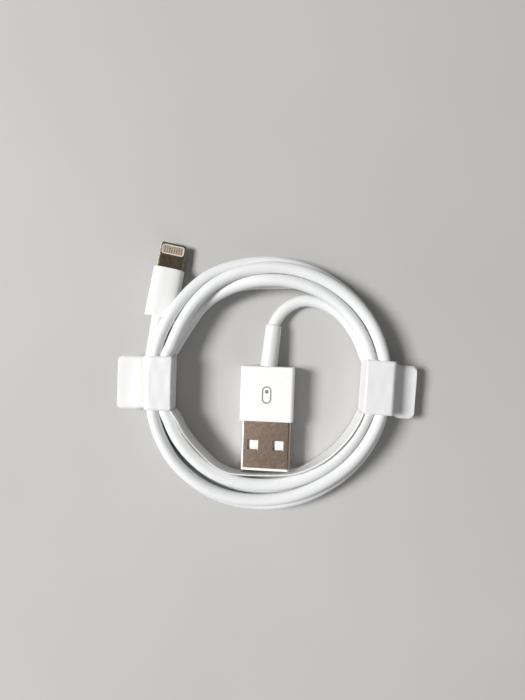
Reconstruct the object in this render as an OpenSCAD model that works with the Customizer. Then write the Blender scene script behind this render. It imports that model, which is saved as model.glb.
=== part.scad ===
// Charging cable, coiled for storage and held by a folded film band.
// Wide host plug inside the coil, slim device plug outside it. Millimetres, +Z up.
// The origin is on the table, at the bottom centre of the box round the plugs and the band.

/* [Cord] */
// Diameter of the jacketed cord
cord_d = 3.0; // [2.8:0.1:3.1]
// Inner radius of the coil
coil_inner_r = 23.6; // [23.5:0.1:24]
// Outer radius of the coil
coil_outer_r = 31.8; // [31:0.1:32.5]
// Height of the coil, three layers of cord
coil_h = 9.0; // [8.6:0.1:9]

/* [Host plug] */
// Width of the steel shell
host_shell_w = 12.0; // [11.9:0.05:12.1]
// Height of the steel shell
host_shell_h = 4.5; // [4.4:0.05:4.6]
// Length of shell that stands out of the housing
host_shell_out = 12.3; // [12:0.1:12.5]
// Sheet thickness of the shell
host_sheet = 0.3; // [0.25:0.05:0.35]
// Width of the housing
host_housing_w = 13.3; // [12.9:0.1:13.3]
// Height of the housing
host_housing_h = 5.9; // [5.8:0.1:6]
// Length of the housing
host_housing_l = 13.6; // [13:0.1:13.6]
// Roll of the plug as it lies on the table, in degrees
host_roll = -5.5; // [-5.5:0.5:0]
// Outer diameter of the strain relief
host_relief_d = 4.35; // [4.2:0.05:4.5]

/* [Device plug] */
// Width of the flat metal tab
device_tab_w = 6.7; // [6.6:0.05:6.8]
// Thickness of the tab
device_tab_t = 1.5; // [1.45:0.05:1.55]
// Length of tab that stands out of the housing
device_tab_out = 6.6; // [6.3:0.1:6.8]
// Width of the housing
device_housing_w = 7.7; // [7.6:0.1:7.9]
// Height of the housing
device_housing_h = 4.5; // [4.4:0.1:4.5]
// Length of the housing
device_housing_l = 12.5; // [12:0.1:12.6]
// Slope of the plug as it leans from the coil down to the table, in degrees
device_slope = 5; // [4:0.5:6]
// Roll of the plug as it leans, in degrees
device_roll = -8; // [-8:0.5:0]

/* [Film band] */
// Thickness of the film
film_t = 0.25; // [0.2:0.05:0.25]
// Width of the two wraps, along the cord
wrap_w = 13.3; // [12:0.1:13.4]
// Length of the left pull tab beyond its wrap
left_tab_l = 7.7; // [7:0.1:8]
// Length of the right pull tab beyond its wrap
right_tab_l = 6.4; // [6:0.1:7]
// Corner radius of the pull tabs
tab_r = 1.2; // [0.8:0.1:2]

/* [Hidden] */
$fn = 48;

cord_r = cord_d / 2;
cord_white = "#f2f3f2";
housing_white = "#f5f5f3";
film_white = "#ecebe8";
steel = "#8d8a84";
gold = "#c9a24a";
gap = 0.05;            // assembly clearance between pieces of one body

// Centre of the coil from the origin
coil_at = [0.1, -6.5, 0];

// Host plug: tip of the shell from the coil's centre, and its turn about Z
host_tip = [-0.62, -21.95, 3.5];
host_turn = -1.9;
host_tail_in = 5;      // shell hidden in the housing
host_housing_y = host_shell_out;
host_rear_y = host_housing_y + host_housing_l;
host_wall = 0.9;
host_cavity_h = host_housing_h - 2 * host_wall;
host_corner = 0.9;
host_windows_y = 6.4;
host_windows_x = 3.15;
host_pitches = [-3.5, -1.0, 1.0, 3.5];
host_contact_w = 1.0;
host_contact_t = 0.3;
host_nose = 0.35;      // how far a contact's nose stands out of its blade
host_carrier_h = 1.85;
host_carrier_drop = 0.3;   // how far the carrier lies below the shell's top sheet
host_carrier_z = host_shell_h / 2 - host_sheet - gap - host_carrier_drop - host_carrier_h;
host_groove = 0.6;     // depth of the grooves that hold the contacts
host_blade_z = host_carrier_z + host_groove - gap - host_contact_t;
host_mould_y = [host_shell_out + host_tail_in + 0.3, host_shell_out + host_tail_in + 3.3];
host_wire_d = 0.7;
host_wire_z = host_blade_z - gap - host_wire_d / 2 - 0.02;
host_bend_y = host_mould_y[1] + 0.6;
host_wire_end_y = host_rear_y - 2.6;
host_rear_wall = 1.2;
// Strain relief of the host plug, from the housing to its blunt end
host_relief = [[0.29, 4.27, 3.46], [1.6, 14.3, 2.5]];
// Route of the cord from inside the host housing to the coil's inner layer
host_route = [
  [0.16, 1.6, 3.5], [0.25, 4.1, 3.48], [1.6, 14.3, 2.5], [2.3, 15.8, 2.2], [3.6, 17.6, 1.9],
  [5.6, 19.3, 1.6], [7.9, 20.4, 1.5], [10.3, 20.7, 1.5], [12.7, 20.3, 1.5], [15.2, 19.3, 1.5],
  [17.6, 17.9, 1.5]
];

// Device plug: tip of the tab from the coil's centre, and its turn about Z
device_tip = [-23.7, 34.9, 2.2];
device_turn = 169.6;
device_housing_y = device_tab_out;
device_rear_y = device_housing_y + device_housing_l;
device_wall = 0.5;
device_rear_wall = 1.0;
device_corner = 2.0;
device_window = [5.5, 2.4];
device_window_y = 0.5;
device_board = [4.6, 10.4, 0.4];
device_board_y = 1.2;
device_tab_in = 3.2;   // tab hidden in the housing
device_tab_edge = 0.55;
device_notch = [2.1, 1.4, 0.25];   // distance from the tip, diameter and depth of a side notch
device_pads = 8;
device_pad = [0.38, 1.8, 0.06];
device_pad_pitch = 0.6;
device_can_y = [device_housing_y + device_tab_in + 0.2, device_rear_y - 2.9];
device_can = [6.1, 2.9];
device_wire_d = 0.6;
// Strain relief of the device plug, from the housing to the left wrap
device_relief = [[-27.15, 16.0, 4.0], [-28.95, 7.0, 4.4]];
device_relief_d = [3.9, 3.3];
// Route of the cord from the left wrap to inside the device housing
device_route = [[-28.97, 6.9, 4.4], [-28.95, 7.0, 4.4], [-28.0, 11.6, 4.2], [-27.15, 16.0, 4.0],
  [-26.95, 17.2, 3.88], [-26.7, 18.6, 3.7]];

// Wraps: middle of the bundle from the coil's centre, turn about Z, half width of the bundle,
// length of the pull tab
left_wrap = [[-26.6, 0, 0], -1.6, 3.0, left_tab_l];
right_wrap = [[27.15, -1.1, 0], -4, 3.35, right_tab_l];
fold_z = 9.0;          // top of the inner wall, where the film folds over
tab_z = 3.95;          // top of the lower layer of a tab
fold_gap = 0.05;
layer_gap = 0.1;
adhesive_t = 0.04;
top_z = fold_z + fold_gap;
flap_low_z = tab_z + layer_gap;
pinch_w = wrap_w + 0.2;
flap_w = wrap_w - 0.3; // the flap clears the strip that leaves the wrap's lower end
// The strip follows the inside of the coil from wrap to wrap, with a straight run at the bottom
strip_path = [[-23.66, -6.6], [-22.75, -8.7], [-21.3, -12.1], [-19.2, -14.5], [-16.9, -16.6],
  [-14, -18.9], [-11.1, -20.9], [-8.2, -22.05], [-6.6, -22.35], [5.1, -22.35], [8.4, -21.7],
  [11.75, -20.1], [16.7, -16.8], [20.75, -12.15], [23.23, -7.35]];

// ---- shapes used more than once ----

module in_coil_frame() translate(coil_at) children();

// A plug's own frame: tip of the plug at the origin, +Y towards its rear
module in_host_frame() in_coil_frame() translate(host_tip) rotate([0, 0, host_turn])
  rotate([0, host_roll, 0]) children();
module in_device_frame() in_coil_frame() translate(device_tip) rotate([0, 0, device_turn])
  rotate([device_slope, 0, 0]) rotate([0, device_roll, 0]) children();

// Rectangle with round corners, in the XY plane
module round_rect(w, h, r) {
  square([w - 2 * r, h], center = true);
  square([w, h - 2 * r], center = true);
  for (sx = [-1, 1], sy = [-1, 1]) translate([sx * (w / 2 - r), sy * (h / 2 - r)]) circle(r);
}

// Bar of that section, from y0 to y1 along Y
module bar(w, h, r, y0, y1) translate([0, y1, 0]) rotate([90, 0, 0])
  linear_extrude(y1 - y0) round_rect(w, h, r);

// Round rod or cone from point a to point b
module rod(a, b, d0, d1) {
  run = b - a;
  translate(a) rotate([0, acos(run[2] / norm(run)), atan2(run[1], run[0])])
    cylinder(h = norm(run), d1 = d0, d2 = d1);
}

// Directions along and across a route at point i
function unit(v) = v / norm(v);
function heading(p, i) = unit(p[min(i + 1, len(p) - 1)] - p[max(i - 1, 0)]);
function across(t) = unit(cross([0, 0, 1], t));

// A flat path moved sideways by d, and a path from its end to its start
function beside(p, d) = [for (i = [0 : len(p) - 1]) let (t = heading(p, i)) p[i] + d * [t[1], -t[0]]];
function reversed(p) = [for (i = [len(p) - 1 : -1 : 0]) p[i]];

// Tube swept along route p
module swept_tube(p, r, sides) {
  rings = [for (i = [0 : len(p) - 1]) let (t = heading(p, i), u = across(t), v = cross(t, u))
    for (k = [0 : sides - 1]) let (a = 360 * k / sides) p[i] + r * (cos(a) * u + sin(a) * v)];
  walls = [for (i = [0 : len(p) - 2], k = [0 : sides - 1]) let (n = (k + 1) % sides)
    [i * sides + k, (i + 1) * sides + k, (i + 1) * sides + n, i * sides + n]];
  polyhedron(rings, concat([[for (k = [0 : sides - 1]) k]], walls,
    [[for (k = [sides - 1 : -1 : 0]) (len(p) - 1) * sides + k]]), convexity = 4);
}

// ---- cord ----

module device_pocket() {
  in_device_frame() translate([-device_housing_w / 2 - 0.45, 3, -device_housing_h / 2 - 0.4])
    cube([30, device_rear_y - 2.6, device_housing_h + 0.8]);
  in_coil_frame() translate([-60, device_relief[1][1] - 0.5, 1.9]) cube([35.2, 12.2, 4.7]);
}

// Everything outside the channel of a wrap, over the wrap's width
module pinch(wrap) {
  in_coil_frame() translate(wrap[0]) rotate([0, 0, wrap[1]]) for (s = [-1, 1]) {
    translate([s * (wrap[2] - gap + 5), 0, coil_h / 2]) cube([10, pinch_w, 20], center = true);
    cube([20, pinch_w, 2 * (film_t + gap)], center = true);
  }
}

module coil() color(cord_white) difference() {
  in_coil_frame() rotate_extrude($fn = 96) translate([(coil_inner_r + coil_outer_r) / 2, coil_h / 2])
    round_rect(coil_outer_r - coil_inner_r, coil_h, cord_r);
  pinch(left_wrap);
  pinch(right_wrap);
  device_pocket();
  in_coil_frame() translate([0, 0, -1]) linear_extrude(coil_h + 2)
    polygon(beside(strip_path, film_t / 2 + gap));
}

module host_lead() color(cord_white) in_coil_frame() swept_tube(host_route, cord_r, 8);

module device_lead() color(cord_white) in_coil_frame() swept_tube(device_route, cord_r, 8);

// ---- host plug ----

module host_shell() color(steel) in_host_frame() difference() {
  bar(host_shell_w, host_shell_h, 0.5, 0, host_shell_out + host_tail_in);
  bar(host_shell_w - 2 * host_sheet, host_shell_h - 2 * host_sheet, 0.3, -1, host_shell_out + 6);
  for (s = [-1, 1]) translate([s * host_windows_x, host_windows_y, 0])
    cube([2.6, 2.3, 10], center = true);
}

module host_contact_carrier() color(housing_white) in_host_frame() difference() {
  translate([-host_shell_w / 2 + host_sheet + gap + 0.2, 0.6, host_carrier_z])
    cube([host_shell_w - 2 * host_sheet - 2 * gap - 0.4, host_shell_out + host_tail_in - 0.8,
      host_carrier_h]);
  for (x = host_pitches) translate([x - host_contact_w / 2 - gap, 1.2, host_carrier_z - 1])
    cube([host_contact_w + 2 * gap, 30, 1 + host_groove]);
}

// Spring contact: flat blade in its groove, with a raised nose and a tail for the wire
module host_contact(i) color(gold) in_host_frame() translate([host_pitches[i], 0, 0]) {
  blade_y = abs(host_pitches[i]) > 2 ? 1.5 : 2.5;
  blade_l = host_shell_out + host_tail_in - 0.4 - blade_y;
  translate([-host_contact_w / 2, blade_y, host_blade_z]) cube([host_contact_w, blade_l, host_contact_t]);
  translate([-host_contact_w / 2, blade_y + 3, host_blade_z - host_nose])
    cube([host_contact_w, 4, host_contact_t + host_nose]);
}

module host_contact_power() host_contact(0);
module host_contact_data_minus() host_contact(1);
module host_contact_data_plus() host_contact(2);
module host_contact_ground() host_contact(3);

module host_inner_mould() color(cord_white) in_host_frame() difference() {
  bar(host_housing_w - 2 * host_wall - 2 * gap, host_cavity_h - 2 * gap, 0.4,
    host_mould_y[0], host_mould_y[1]);
  for (x = host_pitches) rod([x, host_mould_y[0] - 1, host_wire_z],
    [x, host_mould_y[1] + 1, host_wire_z], host_wire_d + 2 * gap, host_wire_d + 2 * gap);
}

module host_housing() color(housing_white) difference() {
  in_host_frame() difference() {
    bar(host_housing_w, host_housing_h, host_corner, host_housing_y, host_rear_y);
    bar(host_housing_w - 2 * host_wall, host_cavity_h, 0.5, host_mould_y[0] - 0.2,
      host_rear_y - host_rear_wall);
    bar(host_shell_w + 2 * gap, host_shell_h + 2 * gap, 0.5, host_housing_y - 1, host_mould_y[0]);
  }
  in_host_frame() rod([0, host_rear_y - 3, 0], [0, host_rear_y + 1, 0], cord_d + 2 * gap,
    cord_d + 2 * gap);
}

// Ring crimped on the cord's jacket, just inside a housing's rear wall
module crimp_ring(rear_y, wall, d) translate([0, rear_y - wall - gap, 0]) rotate([90, 0, 0])
  linear_extrude(1.05) difference() {
    circle(d / 2);
    circle(cord_r + gap);
  }

module host_crimp_ring() color(steel) in_host_frame() crimp_ring(host_rear_y, host_rear_wall, 3.9);

module host_strain_relief() color(housing_white) in_coil_frame() difference() {
  rod(host_relief[0], host_relief[1], host_relief_d, host_relief_d);
  rod(2 * host_relief[0] - host_relief[1], 2 * host_relief[1] - host_relief[0],
    cord_d + 2 * gap, cord_d + 2 * gap);
}

// Wire from a contact's tail through the mould to the end of the cord
module host_wire(i, shade) color(shade) in_host_frame() swept_tube([
  [host_pitches[i], host_shell_out + host_tail_in - 0.3, host_wire_z],
  [host_pitches[i], host_bend_y, host_wire_z],
  [0.3 * host_pitches[i], host_wire_end_y, 0.1]], host_wire_d / 2, 6);

module host_wire_red() host_wire(0, "#b03028");
module host_wire_white() host_wire(1, "#e8e8e8");
module host_wire_green() host_wire(2, "#3a7d44");
module host_wire_black() host_wire(3, "#222222");

// ---- device plug ----

module device_shell() color(steel) in_device_frame() difference() {
  intersection() {
    translate([0, (device_tab_out + device_tab_in) / 2, 0])
      linear_extrude(device_tab_t, center = true)
        round_rect(device_tab_w, device_tab_out + device_tab_in, 0.9);
    bar(device_tab_w, device_tab_t, device_tab_edge, 0, device_tab_out + device_tab_in);
  }
  translate([0, device_window_y + device_window[1] / 2, 0])
    linear_extrude(5, center = true) round_rect(device_window[0], device_window[1], 0.6);
  translate([-device_board[0] / 2 - gap, device_window_y + 1, -device_board[2] / 2 - gap])
    cube([device_board[0] + 2 * gap, 20, device_board[2] + 2 * gap]);
  for (s = [-1, 1]) translate([s * ((device_tab_w + device_notch[1]) / 2 - device_notch[2]),
    device_notch[0], 0]) cylinder(h = 5, d = device_notch[1], center = true);
}

module device_contact_insulator() color("#dcd8d0") in_device_frame() difference() {
  translate([0, device_window_y + device_window[1] / 2, 0]) linear_extrude(device_tab_t - 0.16,
    center = true) round_rect(device_window[0] - 2 * gap, device_window[1] - 2 * gap, 0.55);
  translate([-device_board[0] / 2 - gap, device_board_y - gap, -device_board[2] / 2 - gap])
    cube([device_board[0] + 2 * gap, 20, device_board[2] + 2 * gap]);
}

// Row of contact pads on one face of the insulator; side is 1 on top and -1 below
module device_pad_row(side) color(gold) in_device_frame()
  for (i = [0 : device_pads - 1]) translate([(i - (device_pads - 1) / 2) * device_pad_pitch,
    device_window_y + device_window[1] / 2, side * ((device_tab_t - 0.16 + device_pad[2]) / 2)])
    cube(device_pad, center = true);

module device_contacts_top() device_pad_row(1);
module device_contacts_bottom() device_pad_row(-1);

module device_circuit_board() color("#2f5d46") in_device_frame()
  translate([-device_board[0] / 2, device_board_y, -device_board[2] / 2]) cube(device_board);

module device_controller_chip() color("#1c1c1c") in_device_frame()
  translate([0, device_can_y[0] + 0.9, device_board[2] / 2 + 0.25]) cube([2.2, 1.3, 0.5], center = true);

// Folded can over the board's rear end
module device_rear_can() color(steel) in_device_frame() difference() {
  bar(device_can[0], device_can[1], 0.4, device_can_y[0], device_can_y[1]);
  bar(device_can[0] - 0.4, device_can[1] - 0.4, 0.2, device_can_y[0] - 1, device_can_y[1] + 1);
}

module device_housing() color(housing_white) difference() {
  in_device_frame() difference() {
    bar(device_housing_w, device_housing_h, device_corner, device_housing_y, device_rear_y);
    bar(device_housing_w - 2 * device_wall, device_housing_h - 2 * device_wall, 0.9,
      device_can_y[0] - 0.1, device_rear_y - device_rear_wall);
    bar(device_tab_w + 2 * gap, device_tab_t + 2 * gap, 0.1, device_housing_y - 1, device_can_y[0]);
  }
  in_coil_frame() rod(device_route[3], device_route[5], cord_d + 4 * gap, cord_d + 4 * gap);
}

module device_crimp_ring() color(steel) in_device_frame()
  crimp_ring(device_rear_y, device_rear_wall, 3.4);

module device_strain_relief() color(housing_white) difference() {
  in_coil_frame() rod(device_relief[0], device_relief[1], device_relief_d[0], device_relief_d[1]);
  in_coil_frame() rod(2 * device_relief[0] - device_relief[1], 2 * device_relief[1] - device_relief[0],
    cord_d + 2 * gap, cord_d + 2 * gap);
  in_device_frame() bar(20, 20, 1, 5, device_rear_y + gap);
}

// Wire from the cord's end to a pad on the board's rear end
module device_wire(x, side, shade) color(shade) in_device_frame() {
  wire_z = side * (device_board[2] / 2 + device_wire_d / 2 + 0.02);
  swept_tube([[0.45 * x, device_rear_y - 2.7, side * 0.45], [x, device_rear_y - 4.2, wire_z],
    [x, device_can_y[0] + 2.2, wire_z]], device_wire_d / 2, 6);
}

module device_wire_red() device_wire(-1, 1, "#b03028");
module device_wire_white() device_wire(1, 1, "#e8e8e8");
module device_wire_green() device_wire(-1, -1, "#3a7d44");
module device_wire_black() device_wire(1, -1, "#222222");

// ---- film band ----

// A wrap's own frame: middle of the bundle at the origin, +X outwards
module in_wrap_frame(wrap) in_coil_frame() translate(wrap[0]) rotate([0, 0, wrap[1]])
  scale([sign(wrap[0][0]), 1, 1]) children();

// Wall of film: from x0 to x1 and z0 to z1, w wide along the cord
module film(x0, x1, z0, z1, w) translate([x0, -w / 2, z0]) cube([x1 - x0, w, z1 - z0]);

// One layer of a pull tab, from the outer wall outwards
module tab_layer(wrap, z0, w) translate([wrap[2], 0, z0]) linear_extrude(film_t) {
  tab_l = film_t + wrap[3];
  translate([0, -w / 2]) square([tab_l - tab_r, w]);
  translate([0, -w / 2 + tab_r]) square([tab_l, w - 2 * tab_r]);
  for (s = [-1, 1]) translate([tab_l - tab_r, s * (w / 2 - tab_r)]) circle(tab_r);
}

// Inner wall, floor, lower outer wall and lower tab layer
module cradle(wrap) in_wrap_frame(wrap) {
  film(-wrap[2] - film_t, -wrap[2], 0, fold_z, wrap_w);
  film(-wrap[2] - film_t, wrap[2] + film_t, 0, film_t, wrap_w);
  film(wrap[2], wrap[2] + film_t, 0, tab_z, wrap_w);
  tab_layer(wrap, tab_z - film_t, wrap_w);
}

module flap(wrap) color(film_white) in_wrap_frame(wrap) {
  film(-wrap[2] - film_t, wrap[2] + film_t, top_z, top_z + film_t, flap_w);
  film(wrap[2], wrap[2] + film_t, flap_low_z, top_z + film_t, flap_w);
  tab_layer(wrap, flap_low_z, flap_w);
}

module adhesive(wrap) color("#d9d6cc") in_wrap_frame(wrap)
  translate([wrap[2] + film_t + 1, -wrap_w / 2 + 1.5, tab_z]) cube([wrap[3] - 2.5, wrap_w - 3, adhesive_t]);

module strip() in_coil_frame() linear_extrude(fold_z)
  polygon(concat(beside(strip_path, film_t / 2), reversed(beside(strip_path, -film_t / 2))));

module wrap_band() color(film_white) {
  cradle(left_wrap);
  cradle(right_wrap);
  strip();
}

module left_flap() flap(left_wrap);
module right_flap() flap(right_wrap);
module left_adhesive() adhesive(left_wrap);
module right_adhesive() adhesive(right_wrap);

host_shell();
host_contact_carrier();
host_contact_power();
host_contact_data_minus();
host_contact_data_plus();
host_contact_ground();
host_inner_mould();
host_housing();
host_crimp_ring();
host_strain_relief();
host_wire_red();
host_wire_white();
host_wire_green();
host_wire_black();
device_shell();
device_contact_insulator();
device_contacts_top();
device_contacts_bottom();
device_circuit_board();
device_controller_chip();
device_rear_can();
device_housing();
device_crimp_ring();
device_strain_relief();
device_wire_red();
device_wire_white();
device_wire_green();
device_wire_black();
coil();
host_lead();
device_lead();
wrap_band();
left_flap();
right_flap();
left_adhesive();
right_adhesive();
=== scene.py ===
import math

import bmesh
import bpy
import numpy as np
from mathutils import Matrix, Vector


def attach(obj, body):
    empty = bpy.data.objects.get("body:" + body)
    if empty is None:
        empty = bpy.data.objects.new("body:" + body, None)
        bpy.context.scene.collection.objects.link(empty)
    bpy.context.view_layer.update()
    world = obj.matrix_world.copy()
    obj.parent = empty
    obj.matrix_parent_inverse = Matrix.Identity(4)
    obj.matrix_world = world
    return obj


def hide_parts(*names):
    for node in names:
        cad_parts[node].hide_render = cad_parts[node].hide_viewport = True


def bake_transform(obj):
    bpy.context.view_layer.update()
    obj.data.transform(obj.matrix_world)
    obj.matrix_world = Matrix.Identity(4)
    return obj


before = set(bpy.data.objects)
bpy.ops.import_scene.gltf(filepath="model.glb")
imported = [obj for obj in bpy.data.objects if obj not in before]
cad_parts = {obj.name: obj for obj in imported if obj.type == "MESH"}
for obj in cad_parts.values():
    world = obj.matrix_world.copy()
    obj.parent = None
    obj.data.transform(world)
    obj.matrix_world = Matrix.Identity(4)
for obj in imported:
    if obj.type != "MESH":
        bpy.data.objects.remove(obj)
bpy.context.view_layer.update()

# Sizes are in millimetres in the coil's own frame, whose centre on the table is here in the
# row frame. They repeat part.scad.
COIL_AT = np.array([0.1, -6.5, 0.0])
CORD_R = 1.5
FILM_T = 0.25


def metres(points):
    """Points in the coil's frame, in millimetres, as row-frame metres."""
    return (np.asarray(points, float) + COIL_AT) / 1000.0


# ------------------------------------------------------------------ camera

camera_data = bpy.data.cameras.new("camera")
camera_data.sensor_width = 36.0
camera_data.lens = 27.04
camera_data.clip_start = 0.005
camera = bpy.data.objects.new("camera", camera_data)
# Straight above the coil, a little towards its back
camera.location = metres([-1.3, 8.05, 136.0])
bpy.context.scene.collection.objects.link(camera)
bpy.context.scene.camera = camera


# ------------------------------------------------------------------ mesh tools

def unit(v):
    """Vectors of length one, along the last axis."""
    return v / np.maximum(np.linalg.norm(v, axis=-1, keepdims=True), 1e-9)


def ease(x, a, b):
    """0 before a, 1 after b, and a smooth step between them."""
    t = np.clip((np.asarray(x, float) - a) / (b - a), 0, 1)
    return t * t * (3 - 2 * t)


def new_object(name, vertices, faces, sharp=35):
    """A mesh object from coil-frame vertices, smooth but for edges sharper than the angle."""
    mesh = bpy.data.meshes.new(name)
    mesh.from_pydata(metres(vertices).tolist(), [], [list(f) for f in faces])
    bm = bmesh.new()
    bm.from_mesh(mesh)
    bmesh.ops.recalc_face_normals(bm, faces=bm.faces)
    bm.to_mesh(mesh)
    bm.free()
    mesh.polygons.foreach_set("use_smooth", [True] * len(mesh.polygons))
    mesh.set_sharp_from_angle(angle=math.radians(sharp))
    obj = bpy.data.objects.new(name, mesh)
    bpy.context.scene.collection.objects.link(obj)
    return obj


def loft(rings, closed=False):
    """(vertices, faces) of a skin over rings shaped (rows, points, 3); closed joins last to first."""
    rows, count = rings.shape[:2]
    faces = []
    for i in range(rows if closed else rows - 1):
        for k in range(count):
            a, b = i * count, (i + 1) % rows * count
            n = (k + 1) % count
            faces.append((a + k, a + n, b + n, b + k))
    if not closed:
        faces.append(tuple(range(count)))
        faces.append(tuple((rows - 1) * count + k for k in range(count)))
    return rings.reshape(-1, 3), faces


def grid_sheet(grid):
    """(vertices, faces) of an open sheet over a grid shaped (rows, points, 3)."""
    rows, count = grid.shape[:2]
    faces = [(i * count + k, i * count + k + 1, (i + 1) * count + k + 1, (i + 1) * count + k)
             for i in range(rows - 1) for k in range(count - 1)]
    return grid.reshape(-1, 3), faces


def joined(shapes):
    """(vertices, faces) of several shapes as one."""
    vertices, faces = [], []
    for shape_vertices, shape_faces in shapes:
        faces += [tuple(i + len(vertices) for i in face) for face in shape_faces]
        vertices += np.asarray(shape_vertices).tolist()
    return vertices, faces


def tube_rings(line, radii, sides=20):
    """Rings of those radii round a line that is never upright."""
    line = np.asarray(line, float)
    along = unit(np.gradient(line, axis=0))
    side = unit(np.cross([0.0, 0.0, 1.0], along))
    up = np.cross(along, side)
    turn = np.linspace(0, 2 * math.pi, sides, endpoint=False)[None, :, None]
    around = np.cos(turn) * side[:, None, :] + np.sin(turn) * up[:, None, :]
    return line[:, None, :] + np.broadcast_to(radii, len(line))[:, None, None] * around


def densify(points, step):
    """The same corners with straight runs cut into pieces no longer than step."""
    out = [np.asarray(points[0], float)]
    for p in np.asarray(points[1:], float):
        n = max(1, int(np.ceil(np.linalg.norm(p - out[-1]) / step)))
        start = out[-1]
        out += [start + (p - start) * k / n for k in range(1, n + 1)]
    return np.array(out)


def smooth_line(points, step):
    """An even line through the points, rounded like a bent cord."""
    p = np.asarray(points, float)
    q = np.vstack([2 * p[0] - p[1], p, 2 * p[-1] - p[-2]])
    fine = []
    for a, b, c, d in zip(q, q[1:], q[2:], q[3:]):
        for t in np.linspace(0, 1, 8, endpoint=False):
            fine.append(0.5 * (2 * b + (c - a) * t + (2 * a - 5 * b + 4 * c - d) * t ** 2
                               + (3 * b - a - 3 * c + d) * t ** 3))
    fine = np.array(fine + [p[-1]])
    reach = np.concatenate([[0], np.cumsum(np.linalg.norm(np.diff(fine, axis=0), axis=1))])
    even = np.linspace(0, reach[-1], int(round(reach[-1] / step)) + 1)
    return np.stack([np.interp(even, reach, fine[:, k]) for k in range(3)], axis=1)


def line_length(line):
    """Length along the points of a line."""
    return float(np.linalg.norm(np.diff(line, axis=0), axis=1).sum())


# ------------------------------------------------------------------ plugs' and wraps' frames

def plug_matrix(tip, turn, tilt):
    """Plug frame: tip of the plug at the origin, +Y towards its rear."""
    spin = Matrix.Rotation(math.radians(turn), 4, "Z")
    return Matrix.Translation(Vector(tip)) @ spin @ tilt


HOST = plug_matrix((-0.62, -21.95, 3.5), -1.9, Matrix.Rotation(math.radians(-5.5), 4, "Y"))
DEVICE = plug_matrix((-23.7, 34.9, 2.2), 169.6, Matrix.Rotation(math.radians(5), 4, "X")
                     @ Matrix.Rotation(math.radians(-8), 4, "Y"))

# Device plug's housing in its own frame, and the strain relief behind it
DEVICE_SIZE = (7.7, 4.5)
DEVICE_CORNER = 2.0
DEVICE_Y = (6.6, 19.1)
DEVICE_RELIEF = np.array([[-27.15, 16.0, 4.0], [-28.95, 7.0, 4.4]])
DEVICE_RELIEF_R = (1.95, 1.65)

# Middle of the bundle, turn, half width and tab length of each wrap
LEFT_WRAP = (np.array([-26.6, 0.0]), -1.6, 3.0, 7.7)
RIGHT_WRAP = (np.array([27.15, -1.1]), -4.0, 3.35, 6.4)
WRAP_HALF_W = 6.65
FLAP_HALF_W = WRAP_HALF_W - 0.1


def in_plug(matrix, points):
    """Plug-frame points in the coil's frame."""
    m = np.array(matrix)
    return np.asarray(points, float) @ m[:3, :3].T + m[:3, 3]


def from_coil(matrix, points):
    """Coil-frame points in the plug's frame."""
    m = np.array(matrix.inverted())
    return np.asarray(points, float) @ m[:3, :3].T + m[:3, 3]


def wrap_to_coil(wrap, u, v, z):
    """Wrap-frame points, u outwards and v along the cord, in the coil's frame."""
    centre, turn = wrap[:2]
    c, s = math.cos(math.radians(turn)), math.sin(math.radians(turn))
    x = np.sign(centre[0]) * u
    return np.stack([centre[0] + x * c - v * s, centre[1] + x * s + v * c, z + 0 * u], -1)


def coil_to_wrap(wrap, x, y):
    """(u, v) of coil-frame points in a wrap's frame."""
    centre, turn = wrap[:2]
    c, s = math.cos(math.radians(turn)), math.sin(math.radians(turn))
    dx, dy = x - centre[0], y - centre[1]
    return np.sign(centre[0]) * (dx * c + dy * s), -dx * s + dy * c


# ------------------------------------------------------------------ cord

# Cord inside the host housing, through its strain relief and on to the coil's inner layer
HOST_ROUTE = [
    [0.16, 1.6, 3.5], [0.25, 4.1, 3.48], [1.6, 14.3, 2.5], [2.3, 15.8, 2.2], [3.6, 17.6, 1.9],
    [5.6, 19.3, 1.6], [7.9, 20.4, 1.5], [10.3, 20.7, 1.5], [12.7, 20.3, 1.5], [15.2, 19.3, 1.5],
]
# Places in the bundle's section, radius and height, in the order that the cord takes them:
# bottom inner, bottom outer, middle inner, top inner, top outer, middle outer
PLACES = [(25.4, 1.5), (28.6, 1.5), (26.6, 4.25), (25.5, 7.1), (28.8, 7.1), (30.0, 4.3)]
# Where it moves from each place to the next, in degrees clockwise from the top since the start
SHIFTS = [(365, 410), (705, 745), (1035, 1085), (1380, 1440), (1735, 1795)]
# Radius of the strands that show, at those degrees: top inner, top outer and middle outer
SHOWN_FROM = (985, 1020)
SHOWN = [
    (985, 25.9), (1020, 25.4), (1050, 25.15), (1080, 25.2), (1110, 25.7), (1140, 26.0),
    (1190, 25.5), (1230, 25.0), (1260, 24.9), (1275, 25.3), (1290, 25.9), (1320, 26.0),
    (1335, 25.8), (1365, 25.3), (1380, 25.4),
    (1395, 26.3), (1410, 27.4), (1425, 27.9), (1440, 28.3), (1470, 28.7), (1500, 29.2),
    (1530, 28.9), (1550, 28.6), (1590, 28.0), (1620, 28.6), (1650, 29.95), (1670, 30.05),
    (1695, 29.1), (1725, 28.5), (1740, 28.9), (1755, 29.4), (1770, 30.3), (1800, 30.05),
    (1830, 29.7), (1950, 29.8), (1980, 30.5), (1995, 30.7), (2012, 31.0), (2025, 30.7),
    (2040, 30.1), (2050, 29.5), (2060, 28.6), (2070, 28.1),
]
COIL_TURN = (45, 2070)
COIL_STEP = 5
PER_TURN = 360 // COIL_STEP
START_R = 25.1
# Bulge of the bottom inner and middle inner strands on the side across from the start
BULGES = (1.0, 0.3)
BULGE_BEARING = 200
BULGE_WIDTH = 45
# How far the strands may rise in a wrap, and the clearances kept as they are pushed apart
WRAP_TOP = 7.52
STRAND_GAP = 0.02
HOUSING_GAP = 0.03
PROBE = 0.05
ROUNDS = 500
# From the left wrap into the device plug's strain relief
DEVICE_ROUTE = [[-28.3, 3.0, 4.5], [-28.72, 5.4, 4.42], [-28.9, 7.2, 4.4], [-28.6, 8.8, 4.38]]


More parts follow.
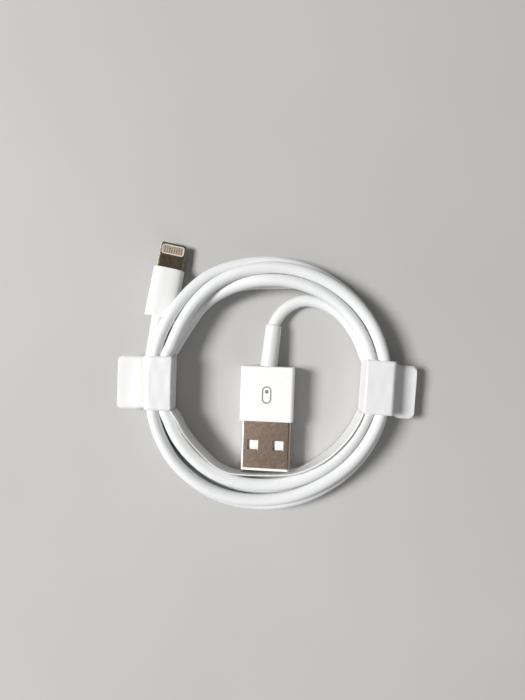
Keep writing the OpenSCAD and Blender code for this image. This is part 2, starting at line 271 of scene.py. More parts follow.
def housing_gap(x, y, z):
    """Distance from points to the device plug's housing, negative inside."""
    p = from_coil(DEVICE, np.stack([x, y, z], -1))
    half = np.array(DEVICE_SIZE) / 2 - DEVICE_CORNER
    out = np.maximum(np.abs(p[..., [0, 2]]) - half, 0)
    section = np.linalg.norm(out, axis=-1) - DEVICE_CORNER
    behind = p[..., 1] - DEVICE_Y[1]
    return np.where(behind < 0, section, np.hypot(np.maximum(section, 0), np.maximum(behind, 0)))


def coil_line():
    """The coil's centreline: strands in their places, pushed a diameter apart and into the wraps."""
    phi = np.arange(COIL_TURN[0], COIL_TURN[1] + 1, COIL_STEP, dtype=float)
    theta = np.radians(phi)
    bearing = phi % 360
    step = [ease(phi, a, b) for a, b in SHIFTS]
    r = PLACES[0][0] + sum(s * (q[0] - p[0]) for s, p, q in zip(step, PLACES, PLACES[1:]))
    z = PLACES[0][1] + sum(s * (q[1] - p[1]) for s, p, q in zip(step, PLACES, PLACES[1:]))
    r += 0.3 * np.cos(2 * theta - math.radians(110))
    bulge = np.exp(-(((bearing + BULGE_BEARING) % 360 - 180) / BULGE_WIDTH) ** 2)
    r += BULGES[0] * bulge * (1 - step[0]) + BULGES[1] * bulge * (1 - step[2])
    shown = ease(phi, *SHOWN_FROM)
    stations, radii = np.array(SHOWN).T
    r += shown * (np.interp(phi, stations, radii) - r)
    r[0] = START_R
    goal_r, goal_z = r.copy(), z.copy()
    # strands that show are held to their radius, and the hidden ones give way
    hold = 0.03 + 0.37 * shown
    give = 1.0 - 0.85 * shown
    for _ in range(ROUNDS):
        for k in range(1, 6):
            near, far = slice(0, len(r) - k * PER_TURN), slice(k * PER_TURN, None)
            dr, dz = r[far] - r[near], z[far] - z[near]
            apart = np.maximum(np.hypot(dr, dz), 0.1)
            push = np.maximum(2 * CORD_R + STRAND_GAP - apart, 0) / apart
            share = give[far] / (give[far] + give[near])
            r[far] += dr * push * share
            z[far] += dz * push * share
            r[near] -= dr * push * (1 - share)
            z[near] -= dz * push * (1 - share)
        x, y = r * np.sin(theta), r * np.cos(theta)
        # clear of the device plug's strain relief
        a, b = DEVICE_RELIEF
        run = (b - a)[:2]
        t = np.clip(((x - a[0]) * run[0] + (y - a[1]) * run[1]) / (run ** 2).sum(), 0, 1)
        from_relief = np.stack([x, y, z], -1) - (a + t[:, None] * (b - a))
        gap = np.linalg.norm(from_relief, axis=-1)
        need = CORD_R + DEVICE_RELIEF_R[0] + t * (DEVICE_RELIEF_R[1] - DEVICE_RELIEF_R[0])
        push = np.where(phi < COIL_TURN[1] - 10, np.maximum(need - gap, 0), 0) / np.maximum(gap, 0.1)
        r += push * (from_relief[:, 0] * np.sin(theta) + from_relief[:, 1] * np.cos(theta))
        z += push * from_relief[:, 2]
        # clear of the device plug's housing
        x, y = r * np.sin(theta), r * np.cos(theta)
        gap = housing_gap(x, y, z)
        slope_r = housing_gap(x + PROBE * np.sin(theta), y + PROBE * np.cos(theta), z) - gap
        slope_z = housing_gap(x, y, z + PROBE) - gap
        size = np.maximum(np.hypot(slope_r, slope_z), 0.02)
        push = np.maximum(CORD_R + HOUSING_GAP - gap, 0)
        r += push * slope_r / size
        z += push * slope_z / size
        # pull back, smooth, and stay on the table and in the wraps
        r += hold * (goal_r - r)
        z += hold * (goal_z - z)
        r[1:-1] += 0.2 * (r[2:] + r[:-2] - 2 * r[1:-1])
        z[1:-1] += 0.2 * (z[2:] + z[:-2] - 2 * z[1:-1])
        z = np.maximum(z, CORD_R)
        x, y = r * np.sin(theta), r * np.cos(theta)
        for wrap in (LEFT_WRAP, RIGHT_WRAP):
            u, v = coil_to_wrap(wrap, x, y)
            inside = (np.abs(v) < WRAP_HALF_W + 0.3) & (np.abs(u) < 8)
            room = wrap[2] - CORD_R
            r += np.where(inside, np.clip(u, -room, room) - u, 0)
            z = np.where(inside, np.clip(z, CORD_R + 0.2, WRAP_TOP), z)
        r[0], z[0] = START_R, CORD_R
    return np.stack([r * np.sin(theta), r * np.cos(theta), z], axis=1)


coil_points = coil_line()
whole = smooth_line(np.vstack([densify(HOST_ROUTE, 2.4), coil_points, DEVICE_ROUTE]), 1.15)
joint = int(np.argmin(np.linalg.norm(whole[:80] - coil_points[1], axis=1)))
lead_line = whole[:joint + 1]
main_line = whole[joint:]

lead = new_object("host_cord_lead", *loft(tube_rings(lead_line, CORD_R)), sharp=60)
main_cord = new_object("cord_coil", *loft(tube_rings(main_line, CORD_R)), sharp=60)


# ------------------------------------------------------------------ strain reliefs

def sleeve(name, line, outer, bore):
    """A moulded sleeve along line: outer radius per point, and a bore for the cord."""
    line = np.asarray(line, float)
    skin = tube_rings(line, outer, 28)
    hole = tube_rings(line, bore, 28)[::-1]
    return new_object(name, *loft(np.concatenate([skin, hole]), closed=True), sharp=50)


def sleeve_profile(count, root, tip, lip, length):
    """Outer radii that taper from root to tip, with a rounded blunt end lip long."""
    s = np.linspace(0, length, count)
    taper = root + (tip - root) * ease(s, 0.0, length)
    fall = np.clip((s - (length - lip)) / lip, 0, 1)
    return taper - lip * (1 - np.sqrt(np.maximum(1 - fall ** 2, 0)))


host_sleeve_line = smooth_line(densify([[0.25, 3.75, 3.48], [1.6, 14.3, 2.5]], 2.0), 0.22)
host_sleeve = sleeve(
    "host_sleeve", host_sleeve_line,
    sleeve_profile(len(host_sleeve_line), 2.12, 2.02, 0.4, line_length(host_sleeve_line)), 1.52,
)
device_sleeve_line = smooth_line(
    densify([[-27.02, 16.75, 3.97], [-27.15, 16.0, 4.0], [-28.0, 11.6, 4.2], [-28.9, 7.2, 4.4],
             [-28.78, 5.7, 4.42]], 1.2), 0.3)
device_sleeve = sleeve(
    "device_sleeve", device_sleeve_line,
    sleeve_profile(len(device_sleeve_line), 1.98, 1.62, 0.1, line_length(device_sleeve_line)), 1.5,
)


# ------------------------------------------------------------------ plug housings

PER_CORNER = 9


def section_ring(width, height, corner, y):
    """A rectangle with round corners across the plug's axis, as plug-frame points."""
    out = []
    for sx, sz, start in ((1, 1, 0), (-1, 1, 90), (-1, -1, 180), (1, -1, 270)):
        for k in range(PER_CORNER):
            a = math.radians(start + 90 * k / (PER_CORNER - 1))
            out.append([sx * (width / 2 - corner) + corner * math.cos(a), y,
                        sz * (height / 2 - corner) + corner * math.sin(a)])
    return out


# A housing's rear wall, how deep its mouth is cut, and where its cavity starts
REAR_WALL = 1.0
MOUTH_END = 5.3
CAVITY_START = 5.5
EDGE_STEPS = 5


def crowned_ring(width, height, power, y):
    """A superellipse of that power, with as many points as a section ring."""
    out = []
    count = 4 * PER_CORNER
    for k in range(count):
        a = 2 * math.pi * (k + 0.5) / count
        c, s = math.cos(a), math.sin(a)
        out.append([math.copysign(abs(c) ** (2 / power), c) * width / 2, y,
                    math.copysign(abs(s) ** (2 / power), s) * height / 2])
    return out


def housing(name, matrix, size, corner, span, front, rear, opening, hole, cavity, power=None):
    """A hollow moulded housing. front and rear are its edge radii; opening, hole and cavity
    are (width, height, corner) of the mouth, the cord's hole and the inside. With a power, its
    faces are crowned like a superellipse."""
    width, height = size
    y0, y1 = span

    def skin(inset, y):
        if power:
            return crowned_ring(width - 2 * inset, height - 2 * inset, power, y)
        return section_ring(width - 2 * inset, height - 2 * inset, corner - inset * 0.6, y)

    rings = [section_ring(*opening, y0 + 1.5), section_ring(*opening, y0 + 0.02)]
    quarter = np.linspace(0, math.pi / 2, EDGE_STEPS)
    for a in quarter:
        rings.append(skin(front * (1 - math.sin(a)), y0 + front * (1 - math.cos(a))))
    for a in quarter:
        rings.append(skin(rear * (1 - math.cos(a)), y1 - rear * (1 - math.sin(a))))
    rings += [section_ring(*hole, y1), section_ring(*hole, y1 - REAR_WALL),
              section_ring(*cavity, y1 - REAR_WALL), section_ring(*cavity, y0 + CAVITY_START),
              section_ring(*opening, y0 + MOUTH_END)]
    placed = np.array([in_plug(matrix, ring) for ring in rings])
    obj = new_object(name, *loft(placed, closed=True), sharp=38)
    weighted(obj)
    return obj


def weighted(obj):
    """Normals led by the large faces, so that flat sides stay flat beside round edges."""
    modifier = obj.modifiers.new("normals", "WEIGHTED_NORMAL")
    modifier.keep_sharp = True


host_housing = housing(
    "host_plug_housing", HOST, (13.3, 5.9), 0.8, (12.3, 25.9), front=0.15, rear=0.3,
    opening=(12.08, 4.58, 0.5), hole=(3.1, 3.1, 1.54), cavity=(11.5, 4.1, 0.5),
)
device_housing = housing(
    "device_plug_housing", DEVICE, DEVICE_SIZE, DEVICE_CORNER, DEVICE_Y, front=0.12, rear=0.25,
    opening=(6.78, 1.58, 0.2), hole=(3.2, 3.2, 1.59), cavity=(6.6, 3.4, 1.2), power=3.0,
)


# A generic mark on the host housing, so that a hand can tell the plug's top: a slot and a dot
def flat_ring(outline_out, outline_in, z0, z1):
    """Rings of a flat band between two outlines, raised from z0 to z1 in the plug's frame."""
    rings = []
    for outline, z in ((outline_out, z0), (outline_out, z1), (outline_in, z1), (outline_in, z0)):
        rings.append([[p[0], p[1], z] for p in outline])
    return np.array(rings)


def pill(width, length, y, count=40):
    """Outline of a slot with round ends, centred on the plug's axis at y."""
    out = []
    for k in range(count):
        a = 2 * math.pi * (k + 0.5) / count
        shift = (length - width) / 2 * (1 if math.sin(a) > 0 else -1)
        out.append((width / 2 * math.cos(a), y + shift + width / 2 * math.sin(a)))
    return out


MARK_Y = 18.9
MARK_Z = (2.93, 2.962)
slot_rings = flat_ring(pill(2.3, 4.3, MARK_Y), pill(1.75, 3.75, MARK_Y), *MARK_Z)
dot_rings = flat_ring(pill(0.9, 0.9, MARK_Y + 0.8), pill(0.2, 0.2, MARK_Y + 0.8), *MARK_Z)
mark = new_object("host_plug_mark", *joined(
    loft(in_plug(HOST, rings), closed=True) for rings in (slot_rings, dot_rings)))

# White border round the contacts, on both faces of the tab
BORDER_Y = 1.7
BORDER_Z = (0.6, 0.765)


def border_outline(width, length, corner):
    """Outline round the contacts, in the tab's plane."""
    ring = section_ring(width, length, corner, 0.0)
    return [(p[0], BORDER_Y + p[2]) for p in ring]


border_parts = []
for side in (1, -1):
    rings = flat_ring(border_outline(5.6, 2.5, 0.65), border_outline(5.1, 2.05, 0.45),
                      side * BORDER_Z[0], side * BORDER_Z[1])
    border_parts.append(loft(in_plug(DEVICE, rings), closed=True))
border = new_object("contact_border", *joined(border_parts))


# ------------------------------------------------------------------ film band

FOLD_Z = 9.05
FOLD_R = 0.9
HINGE_R = 0.22
TAB_R = 1.2
# Middle of the upper and lower layer of a tab, and the crease at its root
UPPER_TAB = (4.17, 0.35)
LOWER_TAB = (3.825, 0.65)
FLOOR_R = 1.3


def arc(cu, cz, r, start, end, count=8):
    """Points of an arc in a wrap's section, angles in degrees."""
    return [(cu + r * math.cos(math.radians(a)), cz + r * math.sin(math.radians(a)))
            for a in np.linspace(start, end, count)]


def straight(a, b, count):
    """Points from a to b, without b."""
    return [(a[0] + (b[0] - a[0]) * k / count, a[1] + (b[1] - a[1]) * k / count)
            for k in range(count)]


def tab_run(start, end, z):
    """Points along a pull tab, closer together over its round corners."""
    body = straight((start, z), (end - TAB_R, z), 9)
    corner = [(end - TAB_R + TAB_R * math.sin(a), z) for a in np.linspace(0, math.pi / 2, 9)]
    return body + corner


def flap_profile(half, tab_l):
    """Top film, outer wall and upper tab layer, as (u, z)."""
    top = FOLD_Z + FILM_T / 2
    edge = half + 0.2
    tab_z, crease = UPPER_TAB
    return (arc(-half + 0.1, top - HINGE_R, HINGE_R, 170, 90, 4)
            + straight((-half + 0.25, top), (edge - FOLD_R, top), 10)
            + arc(edge - FOLD_R, top - FOLD_R, FOLD_R, 90, 0, 9)
            + straight((edge, top - FOLD_R - 0.2), (edge, 4.6), 7)
            + arc(edge + crease, tab_z + crease, crease, 180, 270, 6)
            + tab_run(edge + 0.5, half + FILM_T + tab_l, tab_z))


def cradle_profile(half, tab_l):
    """Inner wall, floor, lower outer wall and lower tab layer, as (u, z)."""
    edge = half + FILM_T / 2
    floor_z = FILM_T / 2
    tab_z, crease = LOWER_TAB
    return (straight((-edge, 9.0), (-edge, 1.6), 8)
            + arc(-edge + FLOOR_R, floor_z + FLOOR_R, FLOOR_R, 180, 270, 7)
            + straight((-edge + 1.5, floor_z), (edge - 1.5, floor_z), 4)
            + arc(edge - FLOOR_R, floor_z + FLOOR_R, FLOOR_R, 270, 360, 7)
            + straight((edge, 1.6), (edge, 3.1), 3)
            + arc(edge + crease, tab_z - crease, crease, 180, 90, 7)
            + tab_run(edge + 0.8, half + FILM_T + tab_l, tab_z))


def film_sheet(wrap, profile, half_w, bulge, skew, curl, dip):
    """(vertices, faces) of a film swept across its wrap. bulge pushes the outer wall out round the
    cord that leaves there, skew slides the tab along the cord, curl lifts the tab's end, and dip
    lowers the tab where it leaves the wall."""
    u, z = np.array(profile).T
    half = wrap[2]
    end = half + FILM_T + wrap[3]
    into = np.clip((u - (end - TAB_R)) / TAB_R, 0, 1)
    narrow = half_w - TAB_R * (1 - np.sqrt(np.maximum(1 - into ** 2, 0)))
    across = np.linspace(-1, 1, 19)
    v = narrow[:, None] * across[None, :]
    uu = np.broadcast_to(u[:, None], v.shape).copy()
    zz = np.broadcast_to(z[:, None], v.shape).copy()
    root = (1 - ease(zz, 4.5, 5.6)) * ease(uu, half, half + 0.2)
    zz -= dip * root * (1 - ease(uu, half + 0.9, half + 3.2))
    outer = ease(uu, half - 0.6, half + 0.1) * (1 - ease(uu, half + 0.6, half + 2.5))
    uu += bulge * outer * ease(v, -9.0, 5.0) * np.exp(-((zz - 5.2) / 2.6) ** 2)
    inner_wall = (uu < -half) & (zz < 8.9)
    uu += np.where(inner_wall, 0.12 * np.sin(math.pi * zz / 9.0), 0)
    top = (zz > 8.9) & (np.abs(uu) < half)
    zz += np.where(top, 0.035 * np.cos(uu * 2.1 + 0.3) * np.cos(v * 0.5) - 0.02, 0)
    on_tab = ease(uu, half + 1.0, end)
    v = v + skew * ease(uu, half + 0.2, half + 3.0)
    zz += curl * on_tab ** 2 + 0.10 * on_tab * np.sin(0.45 * v + 0.6)
    return grid_sheet(wrap_to_coil(wrap, uu, v, zz))


# Top edge of the strip from wrap to wrap: it lies on the coil's inner strands, and runs almost
# straight past the host plug, where its foot stands further out than its top
STRIP = [
    [-23.66, -6.6], [-22.2, -8.8], [-20.9, -11.4], [-19.2, -13.9], [-16.7, -16.8], [-14.7, -18.7],
    [-12.5, -20.4], [-10.6, -21.3], [-8.4, -21.95], [-4.0, -22.3], [0.5, -22.4], [5.2, -22.2],
    [8.6, -21.35], [12.2, -19.8], [15.15, -17.9], [17.65, -15.6], [19.72, -13.25],
    [21.27, -10.98], [22.35, -9.05], [23.23, -7.2],
]
STRIP_LEAN = 0.7


def strip_sheet():
    """(vertices, faces) of the strip between the wraps, a ribbon on its edge."""
    line = smooth_line(np.column_stack([STRIP, np.zeros(len(STRIP))]), 0.8)[:, :2]
    heights = np.linspace(0.05, 8.95, 8)
    out = unit(np.column_stack([line[:, 0], line[:, 1]]))
    foot = STRIP_LEAN * (1 - ease(np.abs(line[:, 0] + 1.5), 6.0, 16.0))[:, None]
    grid = np.empty((len(line), len(heights), 3))
    wave = 0.04 * np.sin(np.linspace(0, 22, len(line)))[:, None]
    for k, h in enumerate(heights):
        grid[:, k, :2] = line + out * (foot * (1 - h / 9.0) + wave * k / 7)
        grid[:, k, 2] = h
    return grid_sheet(grid)


def film_object(name, *sheets):
    """One object of film from open sheets, given the film's thickness."""
    obj = new_object(name, *joined(sheets), sharp=50)
    solid = obj.modifiers.new("thickness", "SOLIDIFY")
    solid.thickness = FILM_T / 1000.0
    solid.offset = 0.0
    return obj


LEFT_SHAPE = {"bulge": 1.1, "skew": -0.25, "curl": 0.2, "dip": 0.45}
RIGHT_SHAPE = {"bulge": 0.0, "skew": -0.9, "curl": -0.05, "dip": 0.2}
band = film_object(
    "film_band",
    film_sheet(LEFT_WRAP, cradle_profile(*LEFT_WRAP[2:]), WRAP_HALF_W, **LEFT_SHAPE),
    film_sheet(RIGHT_WRAP, cradle_profile(*RIGHT_WRAP[2:]), WRAP_HALF_W, **RIGHT_SHAPE),
    strip_sheet(),
)
left_film = film_object(
    "left_film", film_sheet(LEFT_WRAP, flap_profile(*LEFT_WRAP[2:]), FLAP_HALF_W, **LEFT_SHAPE))
right_film = film_object(
    "right_film", film_sheet(RIGHT_WRAP, flap_profile(*RIGHT_WRAP[2:]), FLAP_HALF_W, **RIGHT_SHAPE))


# ------------------------------------------------------------------ materials

def add(tree, kind, **inputs):
    """A shader node with its inputs set by name; a value may be a socket to link from."""
    node = tree.nodes.new(kind)
    for key, value in inputs.items():
        socket = node.inputs[key.replace("_", " ")]
        if isinstance(value, bpy.types.NodeSocket):
            tree.links.new(value, socket)
        else:
            socket.default_value = value
    return node


def noise(tree, vector, scale, detail=3.0, distortion=0.0):
    """Noise of that many features a metre."""
    return add(tree, "ShaderNodeTexNoise", Vector=vector, Scale=scale, Detail=detail,
               Roughness=0.55, Distortion=distortion).outputs["Fac"]


def ramp(tree, fac, *stops):
    """A colour ramp through (position, colour)."""
    node = add(tree, "ShaderNodeValToRGB", Fac=fac)
    band_stops = node.color_ramp.elements
    while len(band_stops) < len(stops):
        band_stops.new(0.5)
    for element, (position, colour) in zip(band_stops, stops):
        element.position = position
        element.color = (*colour, 1.0)
    return node.outputs["Color"]


def span(tree, value, low, high):
    """Noise from 0.3 to 0.7 spread from low to high."""
    node = add(tree, "ShaderNodeMapRange", Value=value)
    node.inputs["From Min"].default_value = 0.3
    node.inputs["From Max"].default_value = 0.7
    node.inputs["To Min"].default_value = low
    node.inputs["To Max"].default_value = high
    return node.outputs["Result"]


def stretched(tree, scale, turn=(0.0, 0.0, 0.0)):
    """Object coordinates turned, then scaled per axis."""
    coordinates = tree.nodes.new("ShaderNodeTexCoord").outputs["Object"]
    turned = add(tree, "ShaderNodeMapping", Vector=coordinates, Rotation=turn).outputs["Vector"]
    return add(tree, "ShaderNodeMapping", Vector=turned, Scale=scale).outputs["Vector"]


def mixed(tree, fac, a, b):
    """Colour a turning into colour b; each is a socket or a colour."""
    mix = tree.nodes.new("ShaderNodeMix")
    mix.data_type = "RGBA"
    tree.links.new(fac, mix.inputs["Factor"])
    for key, value in (("A", a), ("B", b)):
        if isinstance(value, bpy.types.NodeSocket):
            tree.links.new(value, mix.inputs[key])
        else:
            mix.inputs[key].default_value = (*value, 1.0)
    return mix.outputs["Result"]


# Sparse scratches across the shell: their spread along and across the line, and their slant
SCRATCH_STRETCH = (300.0, 5500.0, 300.0)
SCRATCH_TURN = (0.0, 0.0, -0.6)
# Painted highlight colours for the shell's and the tab's edges, and how much rougher the metal is
# under them
SHELL_EDGE_HIGHLIGHT = (0.93, 0.91, 0.88)
TAB_EDGE_HIGHLIGHT = (0.92, 0.88, 0.82)
RIM_ROUGHER = 0.26


def highlight_band(matrix, axis, start, full, colour):
    """Where a plug's metal carries a painted highlight: (level direction, start, end, colour) in the
    row frame, for an axis of the plug and distances along it from the plug's tip, in millimetres."""
    way = matrix.to_3x3() @ Vector(axis)
    way.z = 0.0
    way.normalize()
    tip = Vector(metres(matrix.translation))
    return tuple(way), way.dot(tip) + start / 1000.0, way.dot(tip) + full / 1000.0, colour


# The shell's front lip and its two long edges, and the tab's edge on the light's side: painted
# highlights, a paler colour where the light's reflection falls
SHELL_HIGHLIGHT_BANDS = (
    highlight_band(HOST, (0, -1, 0), -0.672, -0.572, SHELL_EDGE_HIGHLIGHT),
    highlight_band(HOST, (-1, 0, 0), 5.705, 5.885, SHELL_EDGE_HIGHLIGHT),
    highlight_band(HOST, (1, 0, 0), 5.795, 5.915, SHELL_EDGE_HIGHLIGHT),
)
TAB_HIGHLIGHT_BANDS = (highlight_band(DEVICE, (1, 0, 0), 2.88, 3.02, TAB_EDGE_HIGHLIGHT),)


def finish_of(name, light, dark, rough, grain, grain_depth, patch=180.0, metallic=0.0, coat=0.0,
              subsurface=0.0, highlight_bands=(), scratches=None):
    """A material: colour drifts from light to dark in patches, rough is the range of its
    roughness, and grain is a fine bump with that many features a metre. Towards the end of each
    of highlight_bands the colour turns to the band's painted highlight colour, and the roughness
    rises. scratches is the colour of sparse thin lines."""
    material = bpy.data.materials.new(name)
    material.use_nodes = True
    tree = material.node_tree
    shader = tree.nodes["Principled BSDF"]
    place = stretched(tree, (1, 1, 1))
    cloud = noise(tree, place, patch, 4.0, 0.6)
    colour = ramp(tree, cloud, (0.32, dark), (0.66, light))
    fine = noise(tree, place, grain, 2.0)
    roughness = span(tree, noise(tree, place, patch * 2.3, 3.0), *rough)
    if scratches:
        lines = noise(tree, stretched(tree, SCRATCH_STRETCH, SCRATCH_TURN), 1.0, 1.0)
        cut = add(tree, "ShaderNodeMapRange", Value=lines)
        cut.inputs["From Min"].default_value = 0.66
        cut.inputs["From Max"].default_value = 0.74
        colour = mixed(tree, cut.outputs["Result"], colour, scratches)
    # Painted highlights: along each band the colour turns paler and the metal rougher
    for direction, start, end, highlight_colour in highlight_bands:
        reach = tree.nodes.new("ShaderNodeVectorMath")
        reach.operation = "DOT_PRODUCT"
        tree.links.new(stretched(tree, (1, 1, 1)), reach.inputs[0])
        reach.inputs[1].default_value = direction
        past = add(tree, "ShaderNodeMapRange", Value=reach.outputs["Value"])
        past.inputs["From Min"].default_value = start
        past.inputs["From Max"].default_value = end
        colour = mixed(tree, past.outputs["Result"], colour, highlight_colour)
        matt = tree.nodes.new("ShaderNodeMath")
        matt.operation = "MULTIPLY_ADD"
        tree.links.new(past.outputs["Result"], matt.inputs[0])
        matt.inputs[1].default_value = RIM_ROUGHER
        tree.links.new(roughness, matt.inputs[2])
        roughness = matt.outputs["Value"]
    tree.links.new(colour, shader.inputs["Base Color"])
    tree.links.new(roughness, shader.inputs["Roughness"])
    bump = add(tree, "ShaderNodeBump", Strength=1.0, Distance=grain_depth, Height=fine)
    tree.links.new(bump.outputs["Normal"], shader.inputs["Normal"])
    shader.inputs["Metallic"].default_value = metallic
    shader.inputs["Coat Weight"].default_value = coat
    shader.inputs["Coat Roughness"].default_value = 0.25
    shader.inputs["Subsurface Weight"].default_value = subsurface
    shader.inputs["Subsurface Scale"].default_value = 0.0012
    shader.inputs["Subsurface Radius"].default_value = (1.0, 0.95, 0.92)
    return material


MATERIALS = {
    "cord_jacket": finish_of("cord_jacket", (0.84, 0.85, 0.85), (0.79, 0.803, 0.808), (0.3, 0.44),
                             9000.0, 0.000006, patch=90.0),
    "relief_rubber": finish_of("relief_rubber", (0.80, 0.81, 0.805), (0.76, 0.773, 0.773),
                               (0.34, 0.46), 7000.0, 0.000006, patch=120.0),
    "housing_plastic": finish_of("housing_plastic", (0.92, 0.92, 0.92), (0.905, 0.907, 0.91),
                                 (0.27, 0.31), 6000.0, 0.000003, patch=110.0, coat=0.15),
    "contact_plastic": finish_of("contact_plastic", (0.93, 0.93, 0.92), (0.90, 0.90, 0.89),
                                 (0.35, 0.5), 8000.0, 0.000004),
    "contact_border": finish_of("contact_border", (0.76, 0.70, 0.69), (0.70, 0.64, 0.64),
                                (0.3, 0.45), 8000.0, 0.000004),
    "contact_pale": finish_of("contact_pale", (0.62, 0.555, 0.57), (0.55, 0.49, 0.50),
                              (0.3, 0.45), 9000.0, 0.000004),
    "inner_mould": finish_of("inner_mould", (0.80, 0.80, 0.77), (0.70, 0.70, 0.66), (0.4, 0.6),
                             7000.0, 0.00001),
    "film": finish_of("film", (0.93, 0.928, 0.925), (0.905, 0.902, 0.905), (0.3, 0.48), 3500.0,
                      0.000005, patch=260.0, subsurface=0.3),
    "adhesive": finish_of("adhesive", (0.80, 0.79, 0.74), (0.70, 0.69, 0.63), (0.12, 0.3), 2500.0,
                          0.00003, patch=500.0, subsurface=0.1),
    # Shell and tab steel colours are partly painted reflection: browner and darker than bare steel,
    # standing in for the dark, warm surroundings that the metal reflects
    "shell_steel": finish_of("shell_steel", (0.44, 0.337, 0.268), (0.39, 0.298, 0.237), (0.3, 0.38),
                             7000.0, 0.000003, patch=900.0, metallic=1.0, highlight_bands=SHELL_HIGHLIGHT_BANDS,
                             scratches=(0.66, 0.56, 0.48)),
    "tab_steel": finish_of("tab_steel", (0.345, 0.285, 0.192), (0.30, 0.247, 0.163), (0.26, 0.36),
                           7000.0, 0.000002, patch=600.0, metallic=1.0, highlight_bands=TAB_HIGHLIGHT_BANDS),
    "plain_steel": finish_of("plain_steel", (0.52, 0.50, 0.46), (0.44, 0.42, 0.39), (0.28, 0.4),
                             7000.0, 0.000003, patch=600.0, metallic=1.0),
    "contact_gold": finish_of("contact_gold", (0.97, 0.83, 0.47), (0.88, 0.72, 0.38), (0.3, 0.45),
                              7000.0, 0.000003, patch=700.0, metallic=1.0),
    "circuit_board": finish_of("circuit_board", (0.05, 0.16, 0.09), (0.03, 0.11, 0.06), (0.3, 0.45),
                               4000.0, 0.00001, patch=900.0, coat=0.3),
    "chip_body": finish_of("chip_body", (0.03, 0.03, 0.032), (0.018, 0.018, 0.02), (0.45, 0.6),
                           9000.0, 0.000008),
    "wire_red": finish_of("wire_red", (0.52, 0.05, 0.03), (0.42, 0.035, 0.02), (0.3, 0.45), 6000.0,
                          0.000006),
    "wire_white": finish_of("wire_white", (0.82, 0.82, 0.80), (0.74, 0.74, 0.72), (0.3, 0.45),
                            6000.0, 0.000006),
    "wire_green": finish_of("wire_green", (0.06, 0.28, 0.09), (0.04, 0.21, 0.06), (0.3, 0.45),
                            6000.0, 0.000006),
    "wire_black": finish_of("wire_black", (0.03, 0.03, 0.03), (0.02, 0.02, 0.02), (0.3, 0.45),
                            6000.0, 0.000006),
    "mark_ink": finish_of("mark_ink", (0.17, 0.165, 0.16), (0.12, 0.118, 0.115), (0.45, 0.6), 9000.0,
                          0.000004, patch=900.0),
}
NODE_FINISH = {
    "host_shell": "shell_steel", "host_contact_carrier": "contact_plastic",
    "host_contact_power": "contact_gold", "host_contact_data_minus": "contact_gold",
    "host_contact_data_plus": "contact_gold", "host_contact_ground": "contact_gold",
    "host_inner_mould": "inner_mould", "host_crimp_ring": "plain_steel",
    "host_wire_red": "wire_red", "host_wire_white": "wire_white",
    "host_wire_green": "wire_green", "host_wire_black": "wire_black",
    "device_shell": "tab_steel", "device_contact_insulator": "contact_pale",
    "device_contacts_top": "contact_gold", "device_contacts_bottom": "contact_gold",
    "device_circuit_board": "circuit_board", "device_controller_chip": "chip_body",
    "device_rear_can": "plain_steel", "device_crimp_ring": "plain_steel",
    "device_wire_red": "wire_red", "device_wire_white": "wire_white",
    "device_wire_green": "wire_green", "device_wire_black": "wire_black",
    "left_adhesive": "adhesive", "right_adhesive": "adhesive",
}
# Edge radius of each metal or moulded CAD piece that shows, in metres
NODE_EDGE = {
    "host_shell": 0.00012, "host_contact_carrier": 0.00008, "device_shell": 0.00012,
    "device_contact_insulator": 0.00005, "device_contacts_top": 0.00002,
    "device_contacts_bottom": 0.00002,
}


def wear_material(obj, name):
    """Give an object one material by name."""
    obj.data.materials.clear()
    obj.data.materials.append(MATERIALS[name])


for node, name in NODE_FINISH.items():
    wear_material(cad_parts[node], name)
WELD_M = 0.000002
for node, width in NODE_EDGE.items():
    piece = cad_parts[node]
    weld = piece.modifiers.new("weld", "WELD")
    weld.merge_threshold = WELD_M
    edge_round = piece.modifiers.new("edges", "BEVEL")
    edge_round.width = width
    edge_round.segments = 2
    edge_round.limit_method = "ANGLE"
    edge_round.angle_limit = math.radians(40)
    weighted(piece)

PIECES = [
    # piece, finish, body it rides on, CAD nodes that it stands for
    (main_cord, "cord_jacket", "base", ("coil", "device_lead")),
    (host_sleeve, "relief_rubber", "host_plug", ("host_strain_relief",)),
    (host_housing, "housing_plastic", "host_plug", ("host_housing",)),
    (mark, "mark_ink", "host_plug", ()),
    (device_housing, "housing_plastic", "device_plug", ("device_housing",)),
    (border, "contact_border", "device_plug", ()),
    (band, "film", "base", ("wrap_band",)),
    (left_film, "film", "left_film_flap", ("left_flap",)),
    (right_film, "film", "right_film_flap", ("right_flap",)),
]
for piece, name, body, nodes in PIECES:
    wear_material(piece, name)
    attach(piece, body)
    if nodes:
        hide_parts(*nodes)
for piece, name in ((lead, "cord_jacket"), (device_sleeve, "relief_rubber")):
    wear_material(piece, name)
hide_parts("host_lead")
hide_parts("device_strain_relief")
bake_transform(lead)
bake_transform(device_sleeve)


# ------------------------------------------------------------------ floor, light and air

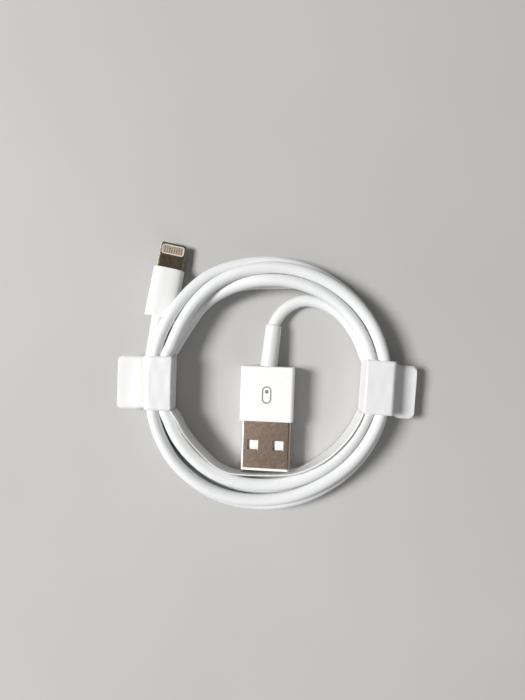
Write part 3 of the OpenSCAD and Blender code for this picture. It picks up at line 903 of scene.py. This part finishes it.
FLOOR_HALF = 1.5
floor_mesh = bpy.data.meshes.new("floor")
floor_mesh.from_pydata([(sx * FLOOR_HALF, sy * FLOOR_HALF, 0)
                        for sx, sy in ((-1, -1), (1, -1), (1, 1), (-1, 1))], [], [(0, 1, 2, 3)])
floor = bpy.data.objects.new("floor", floor_mesh)
floor.location.z = -0.00002
bpy.context.scene.collection.objects.link(floor)
floor_material = bpy.data.materials.new("floor")
floor_material.use_nodes = True
floor_tree = floor_material.node_tree
floor_shader = floor_tree.nodes["Principled BSDF"]
floor_place = stretched(floor_tree, (1, 1, 1))
floor_colour = ramp(floor_tree, noise(floor_tree, floor_place, 9.0), (0.3, (0.50, 0.495, 0.485)),
                    (0.7, (0.545, 0.54, 0.53)))
floor_tree.links.new(floor_colour, floor_shader.inputs["Base Color"])
floor_shader.inputs["Roughness"].default_value = 0.75
floor_mesh.materials.append(floor_material)


def soft_light(name, at, size, power, colour):
    """A square area light at a point in metres, aimed at the origin."""
    data = bpy.data.lights.new(name, "AREA")
    data.size = size
    data.energy = power
    data.color = colour
    light = bpy.data.objects.new(name, data)
    light.location = at
    light.rotation_euler = (-Vector(at)).to_track_quat("-Z", "Y").to_euler()
    bpy.context.scene.collection.objects.link(light)


soft_light("key", (-0.80, 0.08, 0.90), 0.36, 16.6, (1.0, 0.995, 0.985))
soft_light("fill", (0.10, -0.32, 0.24), 0.25, 0.16, (0.97, 0.98, 1.0))

world = bpy.data.worlds.new("air")
bpy.context.scene.world = world
world.use_nodes = True
air = world.node_tree
direction = air.nodes.new("ShaderNodeTexCoord").outputs["Generated"]
height = add(air, "ShaderNodeSeparateXYZ", Vector=direction).outputs["Z"]
sky = ramp(air, height, (0.0, (0.62, 0.62, 0.62)), (0.55, (0.62, 0.62, 0.63)),
           (0.95, (0.36, 0.35, 0.34)))
air.links.new(sky, air.nodes["Background"].inputs["Color"])
air.nodes["Background"].inputs["Strength"].default_value = 0.33
bpy.context.scene.view_settings.view_transform = "Standard"
